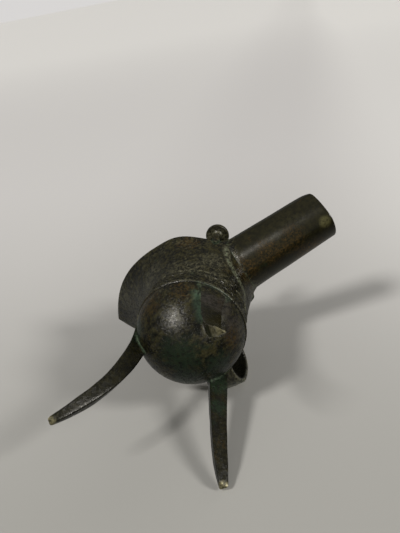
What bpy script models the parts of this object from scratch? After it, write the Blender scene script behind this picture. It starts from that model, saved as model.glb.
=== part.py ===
import math

import bmesh
import bpy
from mathutils import Vector

# Bronze jue: a hollow, spouted wine cup on three splayed legs, cast as one piece of metal.
# Metres. The feet stand on z = 0, the pouring spout points to -X, the long tail of the lip
# to +X and the strap handle to -Y. "Rise" is a height above the raised cord round the body.

# Body
cord_radius = 0.0340
cord_height = 0.0828
cord_relief = 0.00065
cord_half_height = 0.0009
bowl_drop = 0.0327
wall = 0.0022
flare_power = 2.2
waist_depth = 0.0013
waist_power = 0.75

# Lip, seen from above a leaf with its point at the tail
tail_reach = 0.0890
tail_rise = 0.0890
tail_roundness = 2.28
widest_x = 0.0098
widest_half = 0.0425
widest_rise = 0.0613
shoulder_roundness = 1.46
shoulder_turn = math.radians(130.0)
front_blend_share = 0.42

# Spout, a U-shaped channel
spout_start_x = -0.0300
spout_start_rise = 0.0676
spout_slope = math.radians(15.0)
spout_length = 0.0633
spout_root_half = 0.0193
spout_end_half = 0.0172
spout_depth = 0.0230
spout_straight_side = 0.0045
spout_roundness = 1.62
spout_root_x = -0.0336
spout_end_slant = 0.15
spout_skew = 0.013
spout_end_turn = 0.0007
spout_corner = 0.0075

# Legs: direction, distance of the toe from the body axis, how straight, how late the bend, sideways lean
leg_shapes = {
    "tail": {"turn": 21.6, "toe": 0.0654, "straight": 0.03, "bend_power": 2.82, "sway": 0.0},
    "handle": {"turn": -89.6, "toe": 0.0566, "straight": 0.74, "bend_power": 4.0, "sway": 0.0},
    "spout": {"turn": 149.8, "toe": 0.0594, "straight": 0.36, "bend_power": 3.0, "sway": 0.0030},
}
leg_root_drop = 0.0078
leg_lean_ease = 0.06
leg_sway_power = 1.5
leg_face_radius = 0.0341
leg_root_width = 0.0232
leg_neck_width = 0.0148
leg_neck_drop = 0.0190
leg_shin_drop = 0.80 * cord_height
leg_shin_width = 0.0108
leg_taper_power = 1.4
leg_toe_width = 0.0060
leg_root_depth = 0.0100
leg_toe_depth = 0.0053
leg_edge_round = 0.0007
leg_ridge_half = 0.0008

# Handle, a strap bent to a rounded C
handle_turn = math.radians(-87.2)
handle_middle_rise = 0.0234
handle_out = 0.0218
handle_half_height = 0.0190
handle_squareness = 2.6
strap_width = 0.0120
strap_thickness = 0.0030
strap_round = 0.0008
strap_crown = 1.1

# Posts standing on the lip beside the spout, leaning in over the cup
posts = {
    "near_handle": {"root_x": -0.0218, "root_inset": 0.0011, "cap_x": -0.0222, "cap_y": -0.0190},
    "far_side": {"root_x": -0.0235, "root_inset": 0.0, "cap_x": -0.0213, "cap_y": 0.0216},
}
stem_radius = 0.0026
stem_root_drop = 0.0050
stem_root_radius = 0.0008
stem_spread_height = 0.0012
stem_neck = 0.86
stem_head = 1.1
cap_radius = 0.0083
cap_base_rise = 0.0806
cap_edge = 0.0022
cap_underside = 0.80
cap_lower_edge = 0.94
cap_top_rise = 0.0903
cap_hollow = 0.0012
cap_side_power = 1.35
cap_climb_power = 0.8

# Fineness of the faceting
side_steps = 15
bowl_steps = 8
wall_steps = 10
spout_arc_steps = 16
spout_steps = 7
leg_steps = 18
handle_steps = 20
post_steps = 20
cap_steps = 6
core_sides = 48
core_steps = 12
point_crowding = 1.1
slope_window = math.radians(2.5)
spout_foot_turn = math.radians(131.0)
column_lean_power = 5.0
tiny = 1e-5
halvings = 50
crease_search = (-0.02, 0.03)

spout_end_x = (
    spout_start_x
    - spout_depth * math.sin(spout_slope)
    - (spout_length + spout_end_slant * spout_depth) * math.cos(spout_slope)
)
handle_reach = cord_radius + handle_out + strap_crown * strap_thickness / 2
centre_x = -(tail_reach + spout_end_x) / 2
centre_y = (handle_reach - widest_half) / 2


def place(x, y, rise):
    """A point of the finished cup from its offset to the body axis and its rise above the cord."""
    return Vector((x + centre_x, y + centre_y, rise + cord_height))


# ---------------------------------------------------------------- the lip and the wall under it
def spout_half_width(run):
    share = max(0.0, run) / spout_length
    return spout_root_half + (spout_end_half - spout_root_half) * share


def spout_point(run, across, deep):
    """Offset from the body axis of a place in the channel: run along it, across it, deep below its edge."""
    x = spout_start_x - run * math.cos(spout_slope) - deep * math.sin(spout_slope)
    y = across - spout_skew * max(0.0, run - root_run)
    rise = spout_start_rise + run * math.sin(spout_slope) - deep * math.cos(spout_slope)
    return x, y, rise


root_run = (spout_start_x - spout_root_x) / math.cos(spout_slope)
root_half = spout_half_width(root_run)
root_rise = spout_start_rise + root_run * math.sin(spout_slope)
front_radius = math.hypot(spout_root_x, root_half)


def lip_point(share):
    """The lip on the +Y side: share 0 at the tail's point, 0.5 at the widest place, 1 at the spout."""
    if share <= 0.5:
        a = 1.0 - 2.0 * share
        x = widest_x + a * (tail_reach - widest_x)
        y = widest_half * (1.0 - a ** tail_roundness)
        rise = widest_rise + (tail_rise - widest_rise) * a * a
    else:
        b = 2.0 * share - 1.0
        x = widest_x + b * (spout_root_x - widest_x)
        y = root_half + (widest_half - root_half) * (1.0 + math.cos(math.pi * b ** shoulder_roundness)) / 2
        rise = widest_rise + (root_rise - widest_rise) * b * b
    return x, y, rise


root_turn = math.atan2(root_half, spout_root_x)


def share_at(turn):
    """Which place of the lip lies in a direction from the body axis, 0 towards the tail."""
    low = 0.0
    high = 1.0
    for _ in range(halvings):
        middle = (low + high) / 2
        x, y, _ = lip_point(middle)
        if math.atan2(y, x) < turn:
            low = middle
        else:
            high = middle
    return (low + high) / 2


def smooth_step(start, end, value):
    share = min(1.0, max(0.0, (value - start) / (end - start)))
    return share * share * (3.0 - 2.0 * share)


def lip_shape(turn):
    """Radius and rise of the lip in a direction; across the spout they stay as at its root."""
    if turn >= root_turn:
        return front_radius, root_rise
    x, y, rise = lip_point(share_at(turn))
    return math.hypot(x, y), rise


shoulder_radius = lip_shape(shoulder_turn)[0]


def wall_radius(turn, rise):
    """Outer radius of the wall; the front is round low down and runs into the spout only near the lip."""
    turn = abs(turn)
    lip_radius, lip_rise = lip_shape(turn)
    share = max(0.0, rise) / lip_rise
    if turn > shoulder_turn:
        narrowing = smooth_step(shoulder_turn, math.pi, turn)
        round_front = shoulder_radius + (front_radius - shoulder_radius) * narrowing
        lip_radius = round_front + (lip_radius - round_front) * smooth_step(front_blend_share, 1.0, share)
    waist = waist_depth * math.sin(math.pi * min(1.0, share ** waist_power))
    return cord_radius + (lip_radius - cord_radius) * share ** flare_power - waist


def skin_radius(turn, rise, inset):
    """Radius of the wall at an inset into its metal, measured square to the face."""
    outer = wall_radius(turn, rise)
    if inset == 0:
        return outer
    low = max(0.0, abs(turn) - slope_window)
    high = min(math.pi, abs(turn) + slope_window)
    around = (wall_radius(high, rise) - wall_radius(low, rise)) / (high - low)
    upward = (wall_radius(turn, rise + tiny) - wall_radius(turn, rise - tiny)) / (2 * tiny)
    return outer - inset * math.sqrt(1.0 + upward ** 2 + (around / outer) ** 2)


# ---------------------------------------------------------------- the spout
def spout_section(inset):
    """Across and deep places round the channel from its +Y edge to its -Y edge, as shares of its width."""
    places = [(1.0, deep) for deep in (0.0, 0.3 * spout_straight_side, 0.65 * spout_straight_side)]
    drop = spout_depth - inset - spout_straight_side
    power = 2 / spout_roundness
    for step in range(spout_arc_steps + 1):
        angle = math.pi * step / spout_arc_steps
        across = math.copysign(abs(math.cos(angle)) ** power, math.cos(angle))
        places.append((across, spout_straight_side + drop * abs(math.sin(angle)) ** power))
    places += [(-1.0, deep) for _, deep in reversed(places[:3])]
    return places


def spout_surface(side_share, deep, run, inset):
    return spout_point(run, side_share * (spout_half_width(run) - inset), deep)


def crease_run(side_share, deep, inset):
    """How far along the channel its face comes out of the front of the body."""
    low, high = crease_search
    for _ in range(halvings):
        middle = (low + high) / 2
        x, y, rise = spout_surface(side_share, deep, middle, inset)
        if math.hypot(x, y) < skin_radius(math.atan2(y, x), rise, inset):
            low = middle
        else:
            high = middle
    return (low + high) / 2


def end_run(side_share, deep):
    """Where the channel stops: a slanting end with its two upper corners rounded off."""
    run = spout_length + spout_end_slant * deep + spout_end_turn * side_share
    if deep < spout_corner:
        run -= spout_corner - math.sqrt(spout_corner ** 2 - (spout_corner - deep) ** 2)
    return run


# ---------------------------------------------------------------- meshes
def face_band(bm, first, second, closed):
    """Quads between two rows of vertices of the same length."""
    count = len(first)
    for i in range(count if closed else count - 1):
        j = (i + 1) % count
        bm.faces.new((first[i], first[j], second[j], second[i]))


def cap_fan(bm, row, tip):
    for i in range(len(row)):
        bm.faces.new((row[i], row[(i + 1) % len(row)], tip))


def new_object(name, bm, hidden):
    bmesh.ops.recalc_face_normals(bm, faces=bm.faces)
    mesh = bpy.data.meshes.new(name)
    bm.to_mesh(mesh)
    bm.free()
    obj = bpy.data.objects.new(name, mesh)
    bpy.context.scene.collection.objects.link(obj)
    if hidden:
        obj.hide_render = True
        obj.display_type = "WIRE"
    return obj


def side_shares():
    """Places along the lip between the tail's point and the spout, closer together near the point."""
    return [(step / side_steps) ** point_crowding for step in range(1, side_steps)]


def skin_columns(inset):
    """For each column round the body: turn at the cord, turn at its top and rise of its top."""
    lean = root_turn - spout_foot_turn
    columns = []
    for share in [0.0] + side_shares():
        x, y, rise = lip_point(share)
        turn = math.atan2(y, x)
        columns.append((turn - lean * share ** 2, turn, rise))
    section = spout_section(inset)
    spread = 2 * (math.pi - spout_foot_turn)
    for i, (side_share, deep) in enumerate(section):
        x, y, rise = spout_surface(side_share, deep, crease_run(side_share, deep, inset), inset)
        turn = math.atan2(y, x) % (2 * math.pi)
        columns.append((spout_foot_turn + spread * i / (len(section) - 1), turn, rise))
    mirrored = [(2 * math.pi - foot, 2 * math.pi - top, rise) for foot, top, rise in columns[1:side_steps]]
    return columns + mirrored[::-1]


def signed_turn(turn):
    return turn - 2 * math.pi if turn > math.pi else turn


def body_skin(bm, inset):
    """One face of the bowl and wall, from the bottom to the lip and the spout's crease.

    Returns the top row of vertices."""
    columns = skin_columns(inset)
    radius = cord_radius - inset
    drop = bowl_drop - inset
    rows = []
    for step in range(1, bowl_steps):
        angle = 0.5 * math.pi * step / bowl_steps
        rows.append([(radius * math.sin(angle), foot, -drop * math.cos(angle)) for foot, _, _ in columns])
    if inset == 0:
        cord = ((0.0, -1.0), (cord_relief, -0.45), (cord_relief, 0.45), (0.0, 1.0))
        for out, level in cord:
            rows.append([(radius + out, foot, level * cord_half_height) for foot, _, _ in columns])
        start = cord_half_height
    else:
        rows.append([(radius, foot, 0.0) for foot, _, _ in columns])
        start = 0.0
    for step in range(1, wall_steps + 1):
        row = []
        for foot, top_turn, top in columns:
            climb = step / wall_steps
            level = start + (top - start) * climb
            turn = foot + (top_turn - foot) * climb ** column_lean_power
            row.append((skin_radius(signed_turn(turn), level, inset), turn, level))
        rows.append(row)
    pole = bm.verts.new(place(0.0, 0.0, -drop))
    previous = None
    for row in rows:
        ring = []
        for r, turn, level in row:
            ring.append(bm.verts.new(place(r * math.cos(turn), r * math.sin(turn), level)))
        if previous is None:
            cap_fan(bm, ring, pole)
        else:
            face_band(bm, previous, ring, True)
        previous = ring
    return previous


def spout_skin(bm, crease, inset):
    """One face of the channel, from its crease on the body to its open end. Returns its rows."""
    section = spout_section(inset)
    rows = [crease]
    for step in range(1, spout_steps + 1):
        row = []
        for side_share, deep in section:
            start = crease_run(side_share, deep, inset)
            run = start + (end_run(side_share, deep) - start) * step / spout_steps
            row.append(bm.verts.new(place(*spout_surface(side_share, deep, run, inset))))
        face_band(bm, rows[-1], row, False)
        rows.append(row)
    return rows


def build_body():
    bm = bmesh.new()
    first_spout = side_steps
    last_spout = first_spout + len(spout_section(0.0)) - 1
    outer_top = body_skin(bm, 0.0)
    inner_top = body_skin(bm, wall)
    outer_rows = spout_skin(bm, outer_top[first_spout:last_spout + 1], 0.0)
    inner_rows = spout_skin(bm, inner_top[first_spout:last_spout + 1], wall)
    lip_outer = outer_top[last_spout:] + outer_top[:first_spout + 1]
    lip_inner = inner_top[last_spout:] + inner_top[:first_spout + 1]
    face_band(bm, lip_outer, lip_inner, False)
    for edge in (0, -1):
        face_band(bm, [row[edge] for row in outer_rows], [row[edge] for row in inner_rows], False)
    face_band(bm, outer_rows[-1], inner_rows[-1], False)
    return new_object("jue_cup", bm, False)


def build_core():
    """The space inside the middle of the wall: what the legs must not reach into."""
    bm = bmesh.new()
    turns = [2 * math.pi * i / core_sides for i in range(core_sides)]
    radius = cord_radius - wall / 2
    drop = bowl_drop - wall / 2
    levels = []
    for step in range(1, core_steps + 1):
        angle = 0.5 * math.pi * step / core_steps
        levels.append((radius * math.sin(angle), -drop * math.cos(angle)))
    levels.append((radius, leg_root_drop))
    previous = None
    for r, level in levels:
        ring = [bm.verts.new(place(r * math.cos(turn), r * math.sin(turn), level)) for turn in turns]
        if previous is None:
            cap_fan(bm, ring, bm.verts.new(place(0.0, 0.0, -drop)))
        else:
            face_band(bm, previous, ring, True)
        previous = ring
    bm.faces.new(previous)
    return new_object("core", bm, True)


def blend(start, end, share):
    share = min(1.0, max(0.0, share))
    return start + (end - start) * share


def leg_width(drop):
    """Width of a leg's outer face at a drop below the cord."""
    if drop < leg_neck_drop:
        ease = 1.0 - drop / leg_neck_drop
        return leg_neck_width + (leg_root_width - leg_neck_width) * ease ** 2
    if drop < leg_shin_drop:
        share = (drop - leg_neck_drop) / (leg_shin_drop - leg_neck_drop)
        return blend(leg_neck_width, leg_shin_width, share)
    share = (drop - leg_shin_drop) / (cord_height - leg_shin_drop)
    return leg_shin_width + (leg_toe_width - leg_shin_width) * share ** leg_taper_power


def leg_depth(drop):
    return leg_root_depth + (leg_toe_depth - leg_root_depth) * (drop / cord_height) ** 2


def leg_face(shape, drop):
    """Distance of the middle of the outer face from the body axis."""
    length = cord_height - leg_root_drop
    share = max(0.0, drop - leg_root_drop) / length
    lean = (share - leg_lean_ease * (1.0 - math.exp(-share / leg_lean_ease))) / (1.0 - leg_lean_ease)
    travel = shape["straight"] * lean + (1.0 - shape["straight"]) * share ** shape["bend_power"]
    return leg_face_radius + (shape["toe"] - leg_face_radius) * travel


def leg_section(shape, drop):
    """Sideways and outward places round the leg at one level: a broad outer face and an inward ridge."""
    half = leg_width(drop) / 2
    depth = leg_depth(drop)
    face = leg_face(shape, drop)
    hug = blend(1.0, 0.0, drop / (2 * leg_neck_drop))

    def on_face(side):
        return face - hug * (leg_face_radius - math.sqrt(leg_face_radius ** 2 - side ** 2))

    corner = half - leg_edge_round
    places = [(side, on_face(side)) for side in (-corner, -0.5 * corner, 0.0, 0.5 * corner, corner)]
    places.append((half, on_face(half) - leg_edge_round))
    places.append((leg_ridge_half, face - depth))
    places.append((-leg_ridge_half, face - depth))
    places.append((-half, on_face(half) - leg_edge_round))
    return places


def build_leg(name, shape, core):
    bm = bmesh.new()
    turn = math.radians(shape["turn"])
    previous = None
    for step in range(leg_steps + 1):
        drop = cord_height * step / leg_steps
        sway = shape["sway"] * (drop / cord_height) ** leg_sway_power
        row = []
        for face_side, out in leg_section(shape, drop):
            side = face_side + sway
            x = out * math.cos(turn) - side * math.sin(turn)
            y = out * math.sin(turn) + side * math.cos(turn)
            row.append(bm.verts.new(place(x, y, -drop)))
        if previous is None:
            bm.faces.new(row)
        else:
            face_band(bm, previous, row, True)
        previous = row
    bm.faces.new(previous)
    leg = new_object("leg_" + name, bm, True)
    cut = leg.modifiers.new("Clear of the bowl", "BOOLEAN")
    cut.operation = "DIFFERENCE"
    cut.solver = "EXACT"
    cut.object = core
    return leg


def handle_path():
    """Outward distance and rise along the strap's middle line, from inside the upper wall to the lower."""
    top_rise = handle_middle_rise + handle_half_height
    top_wall = wall_radius(handle_turn, top_rise) - wall / 2
    places = [(top_wall, top_rise)]
    for step in range(1, handle_steps):
        angle = 0.5 * math.pi * (1.0 - 2.0 * step / handle_steps)
        out = cord_radius + handle_out * abs(math.cos(angle)) ** (2 / handle_squareness)
        lift = abs(math.sin(angle)) ** (2 / handle_squareness)
        rise = handle_middle_rise + math.copysign(handle_half_height * lift, angle)
        if out > top_wall + strap_thickness / 2:
            places.append((out, rise))
    places.append((cord_radius - wall / 2, handle_middle_rise - handle_half_height))
    return places


def build_handle():
    bm = bmesh.new()
    path = handle_path()
    half_width = strap_width / 2
    half_thick = strap_thickness / 2
    inner = half_width - strap_round
    section = (
        (-inner, half_thick), (0.0, strap_crown * half_thick), (inner, half_thick),
        (half_width, half_thick - strap_round), (half_width, strap_round - half_thick),
        (inner, -half_thick), (-inner, -half_thick),
        (-half_width, strap_round - half_thick), (-half_width, half_thick - strap_round),
    )
    previous = None
    for i, (out, rise) in enumerate(path):
        before = path[max(0, i - 1)]
        after = path[min(len(path) - 1, i + 1)]
        along = Vector((after[0] - before[0], after[1] - before[1])).normalized()
        if i in (0, len(path) - 1):
            along = Vector((1.0 if i == 0 else -1.0, 0.0))
        outward = Vector((-along.y, along.x))
        row = []
        for side, thick in section:
            reach = out + outward.x * thick
            level = rise + outward.y * thick
            x = reach * math.cos(handle_turn) - side * math.sin(handle_turn)
            y = reach * math.sin(handle_turn) + side * math.cos(handle_turn)
            row.append(bm.verts.new(place(x, y, level)))
        if previous is None:
            bm.faces.new(row)
        else:
            face_band(bm, previous, row, True)
        previous = row
    bm.faces.new(previous)
    return new_object("handle", bm, True)


def build_post(name, shape):
    """A round stem on the lip with a low pointed cap, hollowed underneath."""
    cap_x = shape["cap_x"]
    cap_y = shape["cap_y"]
    share = 0.5 + 0.5 * (shape["root_x"] - widest_x) / (spout_root_x - widest_x)
    x, y, rise = lip_point(share)
    y = math.copysign(y - wall / 2 - shape["root_inset"], cap_y)
    profile = [
        (stem_root_radius, rise - stem_root_drop),
        (stem_radius, rise - stem_spread_height),
        (stem_radius, rise + stem_root_drop),
        (stem_radius * stem_neck, cap_base_rise - 2 * cap_hollow),
        (stem_radius * stem_head, cap_base_rise + cap_hollow),
        (cap_radius * cap_underside, cap_base_rise + 0.4 * cap_hollow),
        (cap_radius * cap_lower_edge, cap_base_rise),
        (cap_radius, cap_base_rise + 0.35 * cap_edge),
        (cap_radius, cap_base_rise + cap_edge),
    ]
    shoulder = cap_base_rise + cap_edge
    for step in range(1, cap_steps):
        sweep = step / cap_steps
        radius = cap_radius * (1.0 - sweep ** cap_side_power)
        profile.append((radius, shoulder + (cap_top_rise - shoulder) * sweep ** cap_climb_power))
    bm = bmesh.new()
    previous = None
    turns = [2 * math.pi * i / post_steps for i in range(post_steps)]
    for radius, level in profile:
        lean = min(1.0, (level - rise) / (cap_base_rise - rise))
        middle_x = x + (cap_x - x) * lean
        middle_y = y + (cap_y - y) * lean
        ring = [
            bm.verts.new(place(middle_x + radius * math.cos(a), middle_y + radius * math.sin(a), level))
            for a in turns
        ]
        if previous is None:
            bm.faces.new(ring)
        else:
            face_band(bm, previous, ring, True)
        previous = ring
    cap_fan(bm, previous, bm.verts.new(place(cap_x, cap_y, cap_top_rise)))
    return new_object("post_" + name, bm, True)


def join_to(body, piece):
    weld = body.modifiers.new("With " + piece.name, "BOOLEAN")
    weld.operation = "UNION"
    weld.solver = "EXACT"
    weld.object = piece


def bronze():
    material = bpy.data.materials.new("bronze")
    material.use_nodes = True
    shader = material.node_tree.nodes["Principled BSDF"]
    shader.inputs["Base Color"].default_value = (0.075, 0.062, 0.042, 1.0)
    shader.inputs["Metallic"].default_value = 0.75
    shader.inputs["Roughness"].default_value = 0.42
    return material


for leftover in list(bpy.data.objects):
    bpy.data.objects.remove(leftover)

cup = build_body()
core = build_core()
for leg_name, leg_shape in leg_shapes.items():
    join_to(cup, build_leg(leg_name, leg_shape, core))
join_to(cup, build_handle())
for post_name, post_shape in posts.items():
    join_to(cup, build_post(post_name, post_shape))
cup.data.materials.append(bronze())
cup.data.shade_smooth()
cup.data.set_sharp_from_angle(angle=math.radians(38.0))
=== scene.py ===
import math

import bmesh
import bpy
import numpy as np
from mathutils import Matrix, Vector, noise
from mathutils.kdtree import KDTree


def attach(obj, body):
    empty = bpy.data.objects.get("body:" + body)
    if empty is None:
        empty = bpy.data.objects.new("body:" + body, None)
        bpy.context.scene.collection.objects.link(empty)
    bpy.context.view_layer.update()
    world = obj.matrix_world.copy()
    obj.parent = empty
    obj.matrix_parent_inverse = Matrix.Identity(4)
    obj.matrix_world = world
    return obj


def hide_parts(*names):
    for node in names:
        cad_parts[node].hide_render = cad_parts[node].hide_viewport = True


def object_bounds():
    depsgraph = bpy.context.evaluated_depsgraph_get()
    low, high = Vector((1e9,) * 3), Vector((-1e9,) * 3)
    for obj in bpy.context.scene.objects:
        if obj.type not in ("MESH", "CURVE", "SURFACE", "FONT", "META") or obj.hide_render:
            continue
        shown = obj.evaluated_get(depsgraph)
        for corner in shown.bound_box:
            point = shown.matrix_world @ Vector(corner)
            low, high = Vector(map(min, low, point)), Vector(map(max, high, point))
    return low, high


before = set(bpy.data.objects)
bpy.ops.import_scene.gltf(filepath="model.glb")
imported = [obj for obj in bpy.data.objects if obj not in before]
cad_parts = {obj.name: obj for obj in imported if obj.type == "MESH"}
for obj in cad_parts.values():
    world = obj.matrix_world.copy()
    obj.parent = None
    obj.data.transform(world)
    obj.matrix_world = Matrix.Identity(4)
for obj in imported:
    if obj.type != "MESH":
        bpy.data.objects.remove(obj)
cadLow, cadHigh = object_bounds()
cadBox = [list(cadLow), list(cadHigh)]
print("frame loaded")

# Shape numbers are millimetres from the cup's upright middle line and from the raised
# cord round its body: x towards the tail, -y towards the handle, rise upwards.
mm = 0.001

body = {
    "cordRadius": 34.0, "cordHeight": 82.8, "cordRelief": 0.65, "cordHalf": 0.95,
    "bowlDrop": 32.7, "wall": 2.2, "flarePower": 2.2, "waistDepth": 1.3, "waistPower": 0.75,
    "dents": 0.13, "dentSize": 15.0, "dentSeed": 7,  # slow unevenness of the casting
}
lip = {
    "tailReach": 89.0, "tailRise": 89.0, "tailRoundness": 2.28,
    "widestX": 9.8, "widestHalf": 42.5, "widestRise": 61.3,
    "shoulderRoundness": 1.46, "shoulderTurn": math.radians(130.0), "frontBlend": 0.42,
    "edgeRound": 0.8, "edgeSteps": 6, "samples": 4001,
}
spout = {
    "startX": -30.0, "startRise": 67.6, "slope": math.radians(15.0), "length": 63.3,
    "rootHalf": 19.3, "endHalf": 17.2, "depth": 23.0, "straightSide": 4.5, "roundness": 1.62,
    "rootX": -33.6, "endSlant": 0.15, "skew": 0.013, "endTurn": 0.7, "corner": 7.5, "search": (-20.0, 30.0),
}
grain = {  # how finely the body is meshed
    "sideSteps": 160, "sideCrowding": 1.05, "spoutWall": (0.0, 0.9, 1.5, 2.1, 2.8, 3.6), "spoutArc": 88,
    "bowlRows": 28, "cordSteps": 4, "cordGap": 0.3, "bandStep": 0.46, "bandSpare": 1.4,
    "fieldGap": 0.6, "fieldStep": 0.62, "upperRows": 16, "spoutRows": 30,
    "innerBowlRows": 9, "innerLevels": (4.0, 41.0, 4.4), "innerRows": 10,
    "footTurn": math.radians(131.0), "leanPower": 5.0, "halvings": 50,
    "slopeTurn": math.radians(2.5), "slopeRise": 0.01,
}


def smoothStep(start, end, value):
    share = np.clip((value - start) / (end - start), 0.0, 1.0)
    return share * share * (3.0 - 2.0 * share)


def sectionPlace(run, across, deep):  # a place in the spout's channel
    x = spout["startX"] - run * math.cos(spout["slope"]) - deep * math.sin(spout["slope"])
    y = across - spout["skew"] * np.maximum(0.0, run - rootRun)
    rise = spout["startRise"] + run * math.sin(spout["slope"]) - deep * math.cos(spout["slope"])
    return x, y, rise


def spoutHalf(run):
    share = np.maximum(0.0, run) / spout["length"]
    return spout["rootHalf"] + (spout["endHalf"] - spout["rootHalf"]) * share


rootRun = (spout["startX"] - spout["rootX"]) / math.cos(spout["slope"])
rootHalf = float(spoutHalf(rootRun))
rootRise = spout["startRise"] + rootRun * math.sin(spout["slope"])
rootTurn = math.atan2(rootHalf, spout["rootX"])
frontRadius = math.hypot(spout["rootX"], rootHalf)


def lipPlace(share):  # 0 at the tail's point, 1 at the spout
    a = np.clip(1.0 - 2.0 * share, 0.0, 1.0)
    b = np.clip(2.0 * share - 1.0, 0.0, 1.0)
    tailSide = share <= 0.5
    x = np.where(tailSide, lip["widestX"] + a * (lip["tailReach"] - lip["widestX"]),
                 lip["widestX"] + b * (spout["rootX"] - lip["widestX"]))
    bend = (1.0 + np.cos(math.pi * b ** lip["shoulderRoundness"])) / 2
    y = np.where(tailSide, lip["widestHalf"] * (1.0 - a ** lip["tailRoundness"]),
                 rootHalf + (lip["widestHalf"] - rootHalf) * bend)
    rise = np.where(tailSide, lip["widestRise"] + (lip["tailRise"] - lip["widestRise"]) * a * a,
                    lip["widestRise"] + (rootRise - lip["widestRise"]) * b * b)
    return x, y, rise


lipX, lipY, lipRises = lipPlace(np.linspace(0.0, 1.0, lip["samples"]))
lipTurns, lipRadii = np.arctan2(lipY, lipX), np.hypot(lipX, lipY)
shoulderRadius = float(np.interp(lip["shoulderTurn"], lipTurns, lipRadii))


def wallRadius(turn, rise):
    turn = np.abs(turn)
    front = turn >= rootTurn
    lipRadius = np.where(front, frontRadius, np.interp(turn, lipTurns, lipRadii))
    lipRise = np.where(front, rootRise, np.interp(turn, lipTurns, lipRises))
    share = np.maximum(0.0, rise) / lipRise
    forward = smoothStep(lip["shoulderTurn"], math.pi, turn)
    roundFront = shoulderRadius + (frontRadius - shoulderRadius) * forward
    blended = roundFront + (lipRadius - roundFront) * smoothStep(lip["frontBlend"], 1.0, share)
    lipRadius = np.where(turn > lip["shoulderTurn"], blended, lipRadius)
    waist = body["waistDepth"] * np.sin(math.pi * np.minimum(1.0, share ** body["waistPower"]))
    return body["cordRadius"] + (lipRadius - body["cordRadius"]) * share ** body["flarePower"] - waist


def skinRadius(turn, rise, inset):  # inset is measured square to the face
    outer = wallRadius(turn, rise)
    if inset == 0:
        return outer
    low = np.maximum(0.0, np.abs(turn) - grain["slopeTurn"])
    high = np.minimum(math.pi, np.abs(turn) + grain["slopeTurn"])
    around = (wallRadius(high, rise) - wallRadius(low, rise)) / (high - low)
    step = grain["slopeRise"]
    upward = (wallRadius(turn, rise + step) - wallRadius(turn, rise - step)) / (2 * step)
    return outer - inset * np.sqrt(1.0 + upward ** 2 + (around / outer) ** 2)


middleX = -(lip["tailReach"] + float(sectionPlace(
    spout["length"] + spout["endSlant"] * spout["depth"], 0.0, spout["depth"])[0])) / 2


handle = {
    "turn": math.radians(-87.2), "middleRise": 23.4, "out": 21.8, "halfHeight": 19.0,
    "squareness": 2.6, "width": 12.0, "thickness": 3.0, "crown": 1.1, "edge": 0.9, "steps": 64,
    "flare": 0.22, "flareSteps": 3.0, "edgeSteps": 3, "edgePieces": 3,
}
handleReach = body["cordRadius"] + handle["out"] + handle["crown"] * handle["thickness"] / 2
middleY = (handleReach - lip["widestHalf"]) / 2


def place(x, y, rise):
    return Vector(((x + middleX) * mm, (y + middleY) * mm, (rise + body["cordHeight"]) * mm))


band = {  # the ornament cast round the body
    "low": 2.2, "high": 17.4, "line": 0.50, "lineHalf": 0.50, "lowKept": 0.5, "highKept": 0.45,
    "scroll": 0.40, "scrollSunk": 0.55, "tilesAround": 38, "tileRows": 3, "coils": 1.9, "softness": 0.35,
    "margin": (0.3, 0.9), "worn": 0.6, "wornFrom": -0.4, "wornFull": 1.8,
    "brokenFrom": -1.0, "brokenFull": 0.3,
    "stray": ((0.35, 11, 0), (0.2, 29, 1)),  # how far, waves round the cup, start
    "field": 0.26, "fieldSunk": 0.5, "fieldTop": 42.0, "fieldFade": 14.0, "fieldRow": 4.6, "fieldTiles": 44,
    "fieldMargin": (0.4, 1.2), "fieldFrom": math.radians(88.0), "fieldEase": 0.5, "fieldSway": (0.03, 0.5),
}
waves = {  # waves round the cup, turn per mm of rise, start
    "breaks": ((23, 0.2, 1.0), (-37, 0.5, 0.3), (61, 0.0, 2.0)),
    "wear": ((5, 0.31, 1.0), (-9, 0.53, 2.2), (17, 0.87, 0.4), (-31, 1.3, 4.0)),
}


def squareCoil(u, v, side):  # -1..1 across a tile, squared spiral
    reach = np.maximum(np.abs(u), np.abs(v))
    sweep = np.arctan2(v, u * side) / (2 * math.pi)
    wave = np.cos(2 * math.pi * (reach * band["coils"] + sweep))
    return smoothStep(-band["softness"], band["softness"], wave)


def coilRows(turn, rows, tilesAround):  # squared spirals laid in staggered rows
    rowNumber = np.floor(rows)
    across = turn / (2 * math.pi) * tilesAround + 0.5 * rowNumber
    tile = np.floor(across)
    side = np.where((tile + rowNumber) % 2 == 0, 1.0, -1.0)
    return squareCoil(2 * (across - tile) - 1, 2 * (rows - rowNumber) - 1, side)


def ripple(turn, rise, kind):
    return sum(np.sin(a * turn + b * rise + c) for a, b, c in waves[kind])


def wornShare(turn, rise):  # how much of the relief the years have left
    return 1 - band["worn"] * smoothStep(band["wornFrom"], band["wornFull"], ripple(turn, rise, "wear"))


def raisedLine(rise, level, kept, broken):
    line = np.exp(-((rise - level) / band["lineHalf"]) ** 2)
    return band["line"] * line * (kept + (1 - kept) * broken)


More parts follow.
